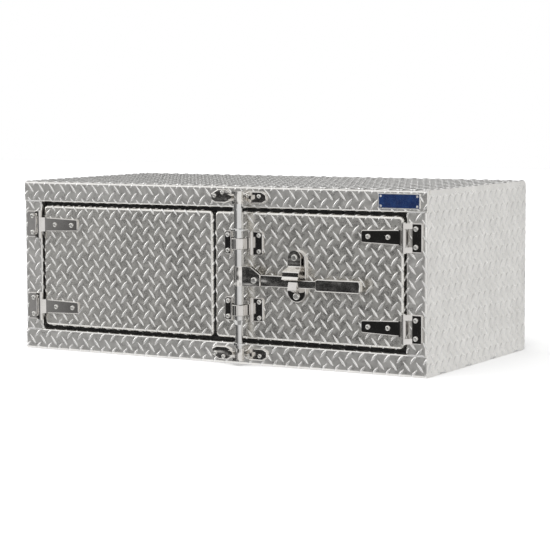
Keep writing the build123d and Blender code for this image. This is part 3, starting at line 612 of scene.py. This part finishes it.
EDGE_RUN = DOOR_BEND * QUARTER + 4 * MM     # lugs reach this far past the face's flat
CORNER_CLEAR = 12 * MM


def corner_test(flat_x, flat_z):
    """True for a lug that would lie across one of a door's rounded corners."""

    def near_corner(u, v):
        over_u = max(flat_x[0] - u, u - flat_x[1]) + CORNER_CLEAR
        over_v = max(flat_z[0] - v, v - flat_z[1]) + CORNER_CLEAR
        return over_u > 0 and over_v > 0

    return near_corner


for name, first_lug in DOOR_LUGS:
    mapping, flat_x, flat_z = door_map(*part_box(f"{name}_skin"))
    lugs = flat_lugs(
        (flat_x[0] - EDGE_RUN, flat_x[1] + EDGE_RUN),
        (flat_z[0] - EDGE_RUN, flat_z[1] + EDGE_RUN),
        first_lug,
        skip=corner_test(flat_x, flat_z),
    )
    smooth_by_angle(lugs, LUG_CREASE)
    bend_mesh(lugs, mapping)
    add_piece(f"{name}_tread", lugs, LUG_METAL, name)


# ---- weld beads ------------------------------------------------------------------------
BEAD_RING = 9                        # points across a bead
BEAD_RIPPLE = 1.7                    # length of a ripple, in radii
BEAD_ROWS = 6                        # rows of points to a ripple
BEAD_SWELL = 0.22                    # share of the radius lost along a ripple
BEAD_BOW = 0.35                      # how far a ripple bows forward, as a share of its length
BEAD_HIGH = 0.8                      # height, in radii
BEAD_TIP = 0.25                      # share of the radius at both ends
BEAD_TIP_RUN = 1.2                   # it grows from there by one radius in this many
BEAD_SUNK = 0.2 * MM
BEAD_CREASE = 60                     # degrees

SEAM_RADIUS = 2.3 * MM               # stile to rail
SEAM_SUNK = 0.6 * MM
SEAM_OFF = 1 * MM                    # distance from the opening
STITCH_RADIUS = 1.9 * MM
STITCH_LONG = 38 * MM
STITCH_SHARES = (0.12, 0.37, 0.62, 0.87)     # of the box's depth
BACK_STITCH_LOW = 0.09               # of the box's height
BACK_STITCH_SPAN = 0.8


def weld_bead(name, start, along, out, length, radius):
    """A rippled half-round bead from start, running along, standing out from the sheets."""
    start = Vector(start)
    along = Vector(along)
    out = Vector(out)
    across = along.cross(out)
    ripple = BEAD_RIPPLE * radius
    steps = round(length / ripple) * BEAD_ROWS
    mesh = bmesh.new()
    rows = []
    for step in range(steps + 1):
        share = step / steps
        swell = 1 - BEAD_SWELL * (share * length / ripple % 1.0) ** 2
        tip = BEAD_TIP + min(share, 1 - share) * length / (BEAD_TIP_RUN * radius)
        reach = radius * swell * min(1.0, tip)
        row = []
        for k in range(BEAD_RING):
            turn = math.pi * k / (BEAD_RING - 1)
            bow = ripple * BEAD_BOW * math.sin(turn)
            centre = start + along * (share * length + bow)
            sideways = across * math.cos(turn) * reach
            upward = out * (math.sin(turn) * reach * BEAD_HIGH - BEAD_SUNK)
            row.append(mesh.verts.new(centre + (sideways + upward)))
        rows.append(row)
    for low, high in zip(rows, rows[1:]):
        for k in range(BEAD_RING - 1):
            mesh.faces.new((low[k], low[k + 1], high[k + 1], high[k]))
        mesh.faces.new((low[-1], low[0], high[0], high[-1]))
    mesh.faces.new(rows[0])
    mesh.faces.new(rows[-1])
    bmesh.ops.recalc_face_normals(mesh, faces=mesh.faces[:])
    smooth_by_angle(mesh, BEAD_CREASE)
    add_piece(name, mesh, WELD_METAL, "box")


for side, name in ((-1, "left"), (1, "right")):
    for level, height in (("top", OPEN_HIGH + SEAM_OFF), ("bottom", OPEN_LOW - SEAM_OFF)):
        seam_start = min(side * (OPEN_HALF + LIP_BEND), side * (BODY_HALF - FRONT_BEND))
        weld_bead(
            f"{name}_{level}_seam_weld",
            (seam_start, FRONT + SEAM_SUNK, height),
            (1, 0, 0),
            (0, -1, 0),
            STILE_FLAT,
            SEAM_RADIUS,
        )
    for number, share in enumerate(STITCH_SHARES):
        weld_bead(
            f"{name}_stitch_weld_{number}",
            (side * BODY_HALF, FRONT + (BACK - FRONT) * share, SHEET),
            (0, 1, 0),
            (side, 0, 0),
            STITCH_LONG,
            STITCH_RADIUS,
        )
        weld_bead(
            f"{name}_back_stitch_weld_{number}",
            (side * BODY_HALF, BACK - SHEET, TOP * (BACK_STITCH_LOW + BACK_STITCH_SPAN * share)),
            (0, 0, 1),
            (side, 0, 0),
            STITCH_LONG,
            STITCH_RADIUS,
        )


# ---- spot welds that hold each door's liner ---------------------------------------------
SPOT_INSET = 46 * MM                 # from the liner's edges
SPOT_PITCH = 70 * MM
SPOT_SIDES = 14
SPOT_RINGS = (                       # (radius, rise) in mm, from the rim to the dimple
    (4.2, -0.2),
    (3.8, 0.5),
    (2.6, 0.6),
    (1.6, 0.15),
)
SPOT_CREASE = 40                     # degrees


def spot_welds(door):
    """Shallow dimpled buttons in a row round the back of a door liner."""
    low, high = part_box(f"{door}_liner")
    wide = high.x - low.x - 2 * SPOT_INSET
    tall = high.z - low.z - 2 * SPOT_INSET
    across = round(wide / SPOT_PITCH)
    up = round(tall / SPOT_PITCH)
    spots = []
    for i in range(across + 1):
        for edge in (0, 1):
            x = low.x + SPOT_INSET + wide * i / across
            spots.append((x, low.z + SPOT_INSET + tall * edge))
    for j in range(1, up):
        for edge in (0, 1):
            x = low.x + SPOT_INSET + wide * edge
            spots.append((x, low.z + SPOT_INSET + tall * j / up))
    mesh = bmesh.new()
    for x, z in spots:
        loops = []
        for radius, rise in SPOT_RINGS:
            loop = []
            for k in range(SPOT_SIDES):
                turn = 2 * math.pi * k / SPOT_SIDES
                right = radius * MM * math.cos(turn)
                above = radius * MM * math.sin(turn)
                loop.append(mesh.verts.new((x + right, high.y + rise * MM, z + above)))
            loops.append(loop)
        for inner, outer in zip(loops[1:], loops):
            for k in range(SPOT_SIDES):
                mesh.faces.new((outer[k], outer[k - 1], inner[k - 1], inner[k]))
        mesh.faces.new(loops[-1])
        mesh.faces.new(loops[0])
    bmesh.ops.recalc_face_normals(mesh, faces=mesh.faces[:])
    smooth_by_angle(mesh, SPOT_CREASE)
    add_piece(f"{door}_spot_welds", mesh, LINER_METAL, door)


for door in ("left_door", "right_door"):
    spot_welds(door)


# ---- stage ---------------------------------------------------------------------------
FLOOR_HALF = 12                      # metres
FLOOR_DROP = 0.2 * MM                # under the CAD's lowest point
SUN_ANGLE = math.radians(70)
SUN_ENERGY = 2.1
SUN_AIM = (-0.35, 0.45, -1.0)
DARKEST = 0.02                       # brightness where panels overlap
DEGREES = 180 / math.pi


def make_floor():
    """Plain white paper that the metals don't mirror."""
    mesh = bmesh.new()
    bmesh.ops.create_grid(mesh, x_segments=8, y_segments=8, size=FLOOR_HALF)
    data = bpy.data.meshes.new("floor")
    mesh.to_mesh(data)
    mesh.free()
    floor = bpy.data.objects.new("floor", data)
    floor.location = (0, 0, cad_low[2] - FLOOR_DROP)
    bpy.context.scene.collection.objects.link(floor)
    material, tree, shader = new_material("floor_paper")
    mottled = noise(tree, place(tree), 3, detail=3)
    colour = tint(tree, mottled, (0.95, 0.95, 0.95), (0.97, 0.97, 0.97))
    tree.links.new(colour, shader.inputs["Base Color"])
    shader.inputs["Roughness"].default_value = 0.9
    data.materials.append(material)
    floor.visible_glossy = False


def math_node(tree, operation, first, second=0.0):
    """A maths node on two numbers or sockets; operations of one value ignore the second."""
    node = tree.nodes.new("ShaderNodeMath")
    node.operation = operation
    for socket, value in zip(node.inputs, (first, second)):
        if isinstance(value, (int, float)):
            socket.default_value = value
        else:
            tree.links.new(value, socket)
    return node.outputs[0]


def band(tree, angle, centre, half, soft):
    """1 inside centre +- half degrees, falling to 0 over soft degrees; angle is in degrees."""
    away = math_node(tree, "ABSOLUTE", math_node(tree, "SUBTRACT", angle, centre))
    edge = tree.nodes.new("ShaderNodeMapRange")
    edge.interpolation_type = "SMOOTHSTEP"
    edge.inputs["From Min"].default_value = half
    edge.inputs["From Max"].default_value = half + soft
    edge.inputs["To Min"].default_value = 1.0
    edge.inputs["To Max"].default_value = 0.0
    tree.links.new(away, edge.inputs["Value"])
    return edge.outputs["Result"]


# Studio panels, in degrees: (compass angle from the front, + to the right; half width; softness;
# height; half height; softness; change of brightness)
PANELS = (
    (-27, 5.8, 8, -5, 8, 9, -0.93),
    (-66, 34, 16, -4, 8, 12, -0.32),
    (-55, 12, 5, -5, 5, 5, -0.42),
    (-78, 12, 6, -5, 6, 7, -0.60),
    (-106, 15, 8, -5, 7, 8, -0.80),
    (-132, 8, 7, 13, 7, 5, -0.35),
    (-155, 42, 20, 64, 20, 10, -0.94),
    (110, 60, 20, 70, 18, 12, -0.92),
    (-2, 5, 9, -2, 14, 12, -0.18),
    (3, 14, 9, -18, 7, 6, -0.72),
    (178, 8, 10, 0, 34, 16, -0.97),
    (-174, 6, 8, 0, 34, 16, -0.97),
    (30, 34, 22, -44, 20, 16, -0.60),
    (-102, 12, 8, -27, 8, 8, -0.60),
    (-93, 15, 12, 16, 8, 8, 2.40),
    (-80, 24, 20, 34, 10, 12, 0.10),
    (150, 10, 12, -2, 20, 20, -0.15),
    (117, 13, 10, -26, 11, 10, -0.62),
    (115, 13, 10, 16, 10, 8, -0.50),
    (62, 22, 18, 24, 12, 14, -0.35),
)


def make_world():
    """White studio tent with dark and bright panels. The camera itself sees plain white."""
    world = bpy.data.worlds.new("studio")
    bpy.context.scene.world = world
    world.use_nodes = True
    tree = world.node_tree
    tree.nodes.clear()
    output = tree.nodes.new("ShaderNodeOutputWorld")
    background = tree.nodes.new("ShaderNodeBackground")
    tree.links.new(background.outputs["Background"], output.inputs["Surface"])
    coords = tree.nodes.new("ShaderNodeTexCoord")
    split = tree.nodes.new("ShaderNodeSeparateXYZ")
    tree.links.new(coords.outputs["Generated"], split.inputs["Vector"])
    facing = math_node(tree, "MULTIPLY", split.outputs["Y"], -1.0)
    compass = math_node(tree, "ARCTAN2", split.outputs["X"], facing)
    compass = math_node(tree, "MULTIPLY", compass, DEGREES)
    height = math_node(tree, "ARCSINE", split.outputs["Z"])
    height = math_node(tree, "MULTIPLY", height, DEGREES)
    shade = 1.0
    for at, half, soft, up, tall, fade, change in PANELS:
        beside = band(tree, compass, at, half, soft)
        level = band(tree, height, up, tall, fade)
        inside = math_node(tree, "MULTIPLY", beside, level)
        shade = math_node(tree, "ADD", shade, math_node(tree, "MULTIPLY", inside, change))
    shade = math_node(tree, "MAXIMUM", shade, DARKEST)
    path = tree.nodes.new("ShaderNodeLightPath")
    pick = tree.nodes.new("ShaderNodeMix")
    pick.data_type = "FLOAT"
    tree.links.new(path.outputs["Is Camera Ray"], pick.inputs["Factor"])
    tree.links.new(shade, pick.inputs["A"])
    pick.inputs["B"].default_value = 1.0
    tree.links.new(pick.outputs["Result"], background.inputs["Strength"])
    background.inputs["Color"].default_value = (1.0, 1.0, 1.0, 1)


def make_sun():
    """Wide overhead light that whitens the floor; the metals reflect only the panels."""
    data = bpy.data.lights.new("key", "SUN")
    data.energy = SUN_ENERGY
    data.angle = SUN_ANGLE
    light = bpy.data.objects.new("key", data)
    light.rotation_euler = Vector(SUN_AIM).to_track_quat("-Z", "Y").to_euler()
    light.visible_glossy = False
    bpy.context.scene.collection.objects.link(light)


make_floor()
make_world()
make_sun()
bpy.context.scene.view_settings.view_transform = "Standard"
